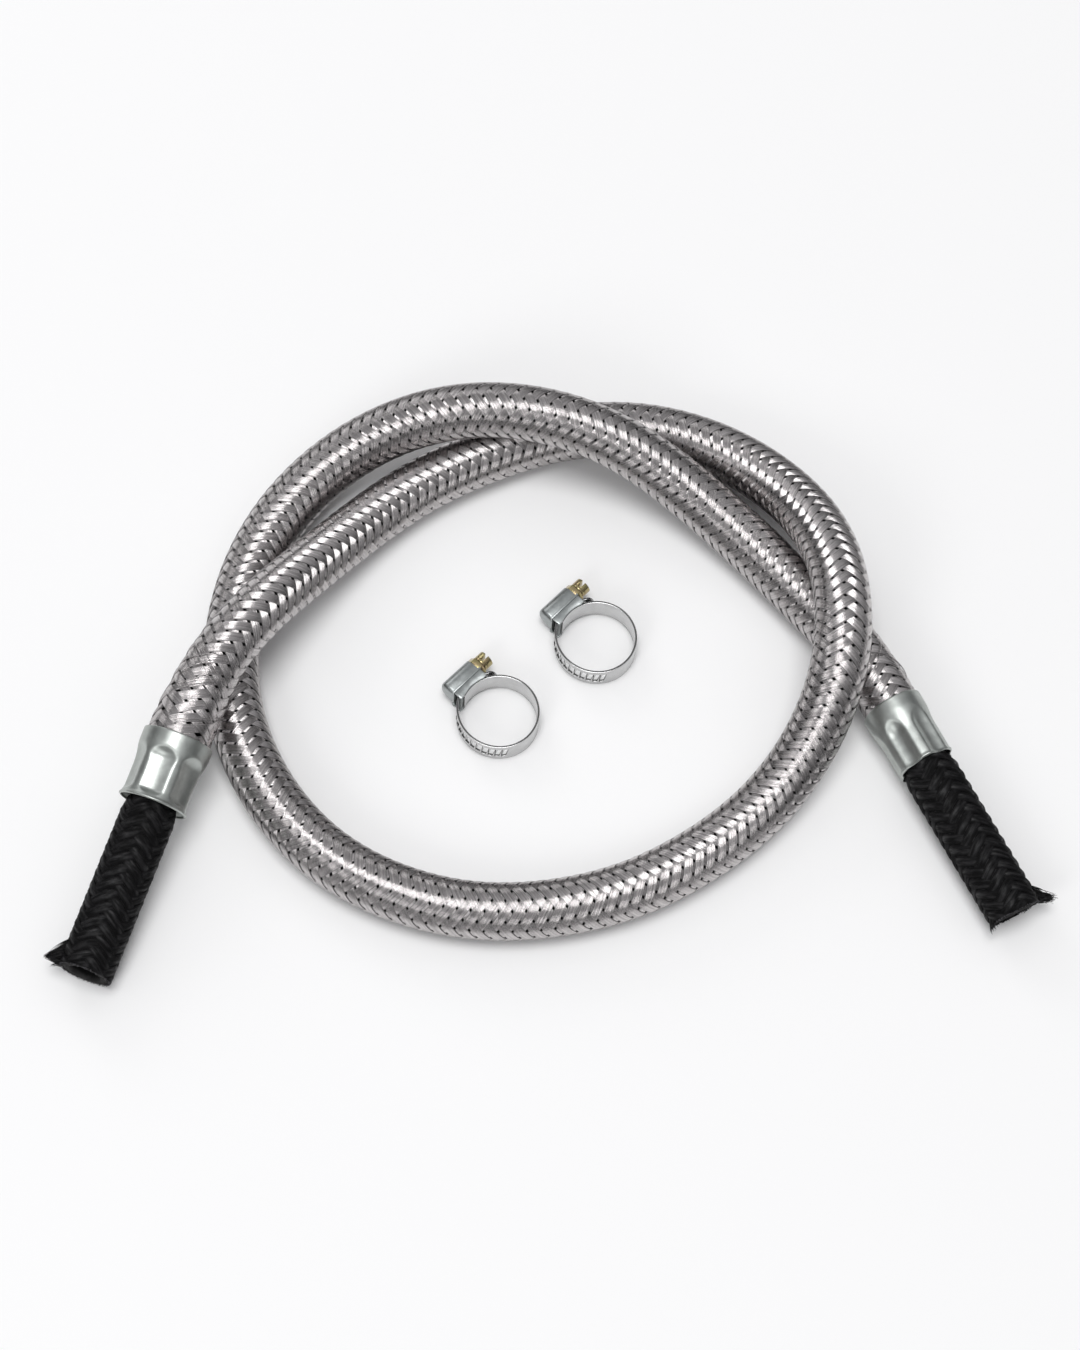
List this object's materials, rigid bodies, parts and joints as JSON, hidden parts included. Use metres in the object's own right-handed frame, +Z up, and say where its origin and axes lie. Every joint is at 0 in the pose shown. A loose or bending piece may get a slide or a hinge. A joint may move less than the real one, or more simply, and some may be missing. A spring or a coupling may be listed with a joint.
{
  "type": "braided hose",
  "caption": "Steel-braided rubber hose with crimped ferrules and bare textile-covered ends, lying in a crossed loop, with loose worm-drive hose clamps.",
  "frame": {"origin": "on the surface that the set lies on, under the middle of its bounding box", "axes": "+X to the right along the longest extent, +Y away from the two cut ends, +Z up"},
  "size_m": [0.2812, 0.1903, 0.0356],
  "materials": {
    "liner_rubber": "matte black rubber",
    "cover_textile": "black braided yarn",
    "braid_wire": "bright drawn wire",
    "ferrule_zinc": "satin zinc plating",
    "band_steel": "polished strip",
    "housing_zinc": "bright blue zinc plating",
    "screw_yellow": "yellow passivated"
  },
  "bodies": {
    "hose": {"left_hose_liner": "liner_rubber", "left_hose_cover": "cover_textile", "left_ferrule": "ferrule_zinc", "hose_liner": "liner_rubber", "hose_cover": "cover_textile", "steel_braid": "braid_wire", "right_ferrule": "ferrule_zinc", "right_hose_cover": "cover_textile", "right_hose_liner": "liner_rubber"},
    "near_clamp": {"near_clamp_band": "band_steel", "near_clamp_saddle": "housing_zinc", "near_clamp_housing": "housing_zinc"},
    "near_clamp_screw": {"near_clamp_screw": "screw_yellow"},
    "near_clamp_tail": {"near_clamp_tail": "band_steel"},
    "far_clamp": {"far_clamp_band": "band_steel", "far_clamp_saddle": "housing_zinc", "far_clamp_housing": "housing_zinc"},
    "far_clamp_screw": {"far_clamp_screw": "screw_yellow"},
    "far_clamp_tail": {"far_clamp_tail": "band_steel"}
  },
  "joints": [
    {"name": "near_clamp_lift", "type": "slide", "parent": "hose", "child": "near_clamp", "axis": [0, 0, 1], "range_m": [0, 0.06]},
    {"name": "near_clamp_screw_turn", "type": "hinge", "parent": "near_clamp", "child": "near_clamp_screw", "pos_m": [-0.02693, 0.00254, 0.00515], "axis": [-0.6947, -0.7193, 0], "range_deg": [0, 1080]},
    {"name": "near_clamp_tail_feed", "type": "hinge", "parent": "near_clamp", "child": "near_clamp_tail", "pos_m": [-0.0155, -0.0085, 0.00449], "axis": [-0.0299, 0.0289, -0.9991], "range_deg": [0, 26.6]},
    {"name": "far_clamp_lift", "type": "slide", "parent": "hose", "child": "far_clamp", "axis": [0, 0, 1], "range_m": [0, 0.06]},
    {"name": "far_clamp_screw_turn", "type": "hinge", "parent": "far_clamp", "child": "far_clamp_screw", "pos_m": [0.00207, 0.02704, 0.00515], "axis": [-0.6947, -0.7193, 0], "range_deg": [0, 1080]},
    {"name": "far_clamp_tail_feed", "type": "hinge", "parent": "far_clamp", "child": "far_clamp_tail", "pos_m": [0.0135, 0.016, 0.00449], "axis": [-0.0299, 0.0289, -0.9991], "range_deg": [0, 26.6]}
  ],
  "couplings": [
    {"joint": "near_clamp_tail_feed", "follows": "near_clamp_screw_turn", "ratio": 0.02458},
    {"joint": "far_clamp_tail_feed", "follows": "far_clamp_screw_turn", "ratio": 0.02458}
  ]
}
